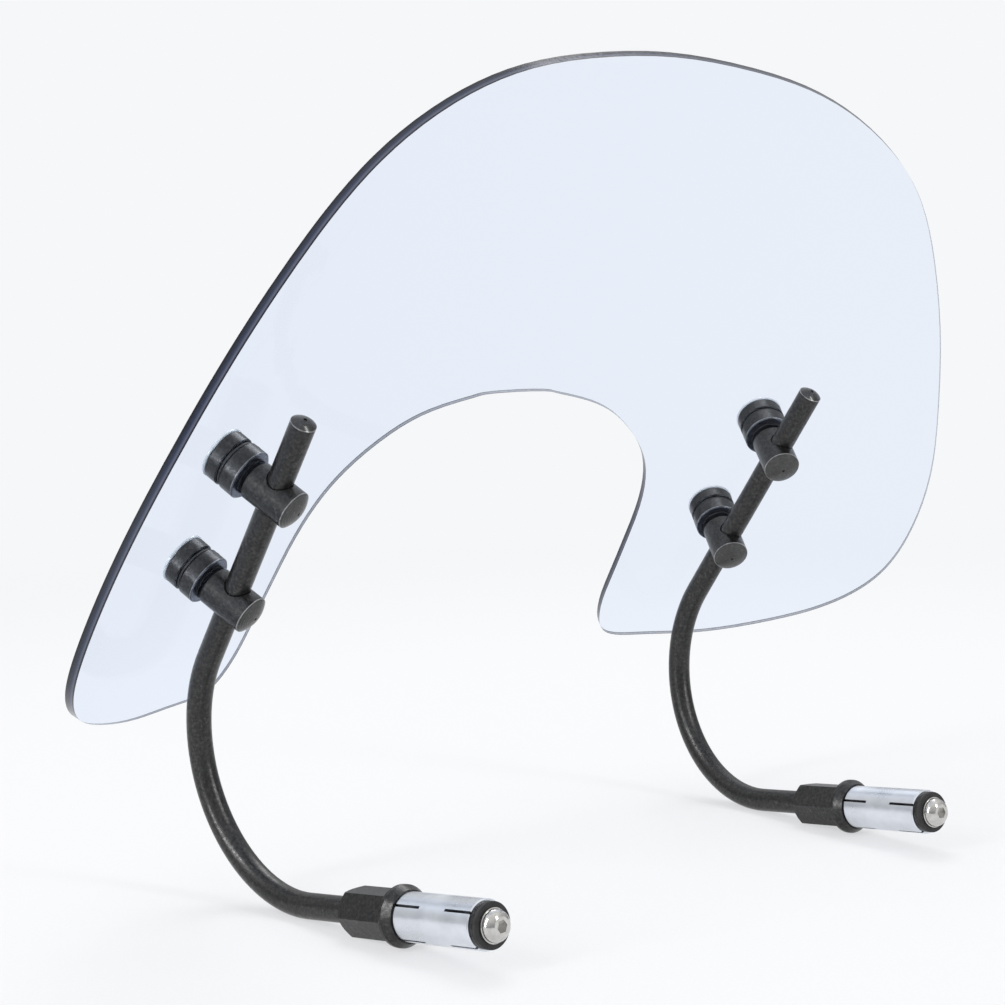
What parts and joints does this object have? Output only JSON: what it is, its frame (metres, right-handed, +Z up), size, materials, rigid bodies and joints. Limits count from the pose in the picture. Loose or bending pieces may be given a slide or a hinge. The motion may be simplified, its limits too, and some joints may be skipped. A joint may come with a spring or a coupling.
{
  "type": "motorcycle windshield screen",
  "caption": "Clear curved motorcycle screen with a headlight cut-out, clamped to two bent rods that end in expanding tube plugs.",
  "frame": {"origin": "middle of the bounding box, on the floor under the flanges and rod bends", "axes": "+X to the rider's right, +Y forward in the riding direction, +Z up"},
  "size_m": [0.5158, 0.2426, 0.3842],
  "materials": {
    "clear_sheet": "polished, clear with a faint blue tint",
    "black_steel": "burnished black oxide",
    "black_rubber": "matt",
    "clear_nylon": "clear",
    "zinc_steel": "satin zinc plate",
    "stainless": "polished"
  },
  "bodies": {
    "supports": {"left_rod": "black_steel", "left_adapter": "black_steel", "left_sleeve": "zinc_steel", "right_rod": "black_steel", "right_adapter": "black_steel", "right_sleeve": "zinc_steel"},
    "screen_carrier": {"screen": "clear_sheet", "left_upper_post": "black_steel", "left_upper_rear_washer": "black_rubber", "left_upper_gasket": "black_rubber", "left_upper_collar": "black_steel", "left_upper_rubber_ring": "black_rubber", "left_upper_front_disc": "black_steel", "left_upper_clear_washer": "clear_nylon", "left_lower_post": "black_steel", "left_lower_rear_washer": "black_rubber", "left_lower_gasket": "black_rubber", "left_lower_collar": "black_steel", "left_lower_rubber_ring": "black_rubber", "left_lower_front_disc": "black_steel", "left_lower_clear_washer": "clear_nylon", "right_upper_post": "black_steel", "right_upper_rear_washer": "black_rubber", "right_upper_gasket": "black_rubber", "right_upper_collar": "black_steel", "right_upper_rubber_ring": "black_rubber", "right_upper_front_disc": "black_steel", "right_upper_clear_washer": "clear_nylon", "right_lower_post": "black_steel", "right_lower_rear_washer": "black_rubber", "right_lower_gasket": "black_rubber", "right_lower_collar": "black_steel", "right_lower_rubber_ring": "black_rubber", "right_lower_front_disc": "black_steel", "right_lower_clear_washer": "clear_nylon"},
    "left_wedge": {"left_end_cone": "black_steel", "left_end_ring": "black_rubber", "left_screw_washer": "stainless"},
    "left_screw": {"left_expander_screw": "stainless"},
    "right_wedge": {"right_end_cone": "black_steel", "right_end_ring": "black_rubber", "right_screw_washer": "stainless"},
    "right_screw": {"right_expander_screw": "stainless"},
    "left_upper_clamp": {"left_upper_clamp_screw": "black_steel"},
    "left_lower_clamp": {"left_lower_clamp_screw": "black_steel"},
    "right_upper_clamp": {"right_upper_clamp_screw": "black_steel"},
    "right_lower_clamp": {"right_lower_clamp_screw": "black_steel"}
  },
  "joints": [
    {"name": "screen_height", "type": "slide", "parent": "supports", "child": "screen_carrier", "axis": [0, -0.6366, 0.7712], "range_m": [-0.02, 0.025]},
    {"name": "left_wedge_slide", "type": "slide", "parent": "supports", "child": "left_wedge", "axis": [0.0707, -0.9917, 0.1076], "range_m": [0, 0.003]},
    {"name": "left_screw_turn", "type": "hinge", "parent": "left_wedge", "child": "left_screw", "pos_m": [-0.13818, -0.11142, 0.01949], "axis": [0.0707, -0.9917, 0.1076], "range_deg": [0, 860]},
    {"name": "right_wedge_slide", "type": "slide", "parent": "supports", "child": "right_wedge", "axis": [-0.0707, -0.9917, 0.1076], "range_m": [0, 0.003]},
    {"name": "right_screw_turn", "type": "hinge", "parent": "right_wedge", "child": "right_screw", "pos_m": [0.13818, -0.11142, 0.01949], "axis": [-0.0707, -0.9917, 0.1076], "range_deg": [0, 860]},
    {"name": "left_upper_clamp_turn", "type": "hinge", "parent": "screen_carrier", "child": "left_upper_clamp", "pos_m": [-0.1585, 0.00372, 0.19422], "axis": [-0.3765, 0.7144, 0.5898], "range_deg": [0, 180]},
    {"name": "left_lower_clamp_turn", "type": "hinge", "parent": "screen_carrier", "child": "left_lower_clamp", "pos_m": [-0.1585, 0.04446, 0.14487], "axis": [-0.3765, 0.7144, 0.5898], "range_deg": [0, 180]},
    {"name": "right_upper_clamp_turn", "type": "hinge", "parent": "screen_carrier", "child": "right_upper_clamp", "pos_m": [0.1585, 0.00372, 0.19422], "axis": [0.3765, 0.7144, 0.5898], "range_deg": [0, 180]},
    {"name": "right_lower_clamp_turn", "type": "hinge", "parent": "screen_carrier", "child": "right_lower_clamp", "pos_m": [0.1585, 0.04446, 0.14487], "axis": [0.3765, 0.7144, 0.5898], "range_deg": [0, 180]}
  ],
  "couplings": [
    {"joint": "left_wedge_slide", "follows": "left_screw_turn", "m_per_rad": 0.00019894},
    {"joint": "right_wedge_slide", "follows": "right_screw_turn", "m_per_rad": 0.00019894}
  ]
}
